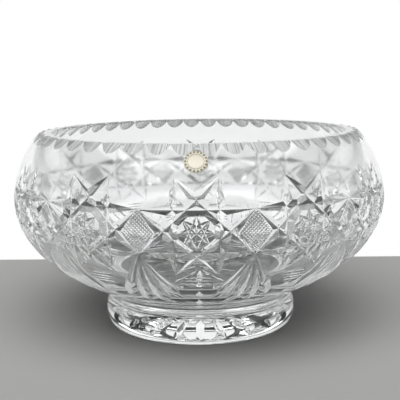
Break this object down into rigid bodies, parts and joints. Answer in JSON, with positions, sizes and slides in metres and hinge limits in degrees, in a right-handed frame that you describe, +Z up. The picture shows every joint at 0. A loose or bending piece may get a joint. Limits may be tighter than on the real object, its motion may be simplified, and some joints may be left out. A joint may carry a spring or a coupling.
{
  "type": "footed crystal bowl",
  "caption": "Round footed bowl of clear cut crystal with a turned-in scalloped rim, star cuts round its belly and a small foil seal on its shoulder.",
  "frame": {"origin": "centre of the foot's underside, on the surface that the bowl stands on", "axes": "+Z up along the bowl's axis; the foil seal and the front star face -Y, and +X is to their right"},
  "size_m": [0.225, 0.225, 0.1185],
  "materials": {
    "crystal": "polished clear lead crystal, frosted in the rim's scallops",
    "foil": "satin pale gold foil"
  },
  "bodies": {
    "root": {"bowl_body": "crystal", "foot": "crystal", "foil_seal": "foil"}
  },
  "joints": []
}
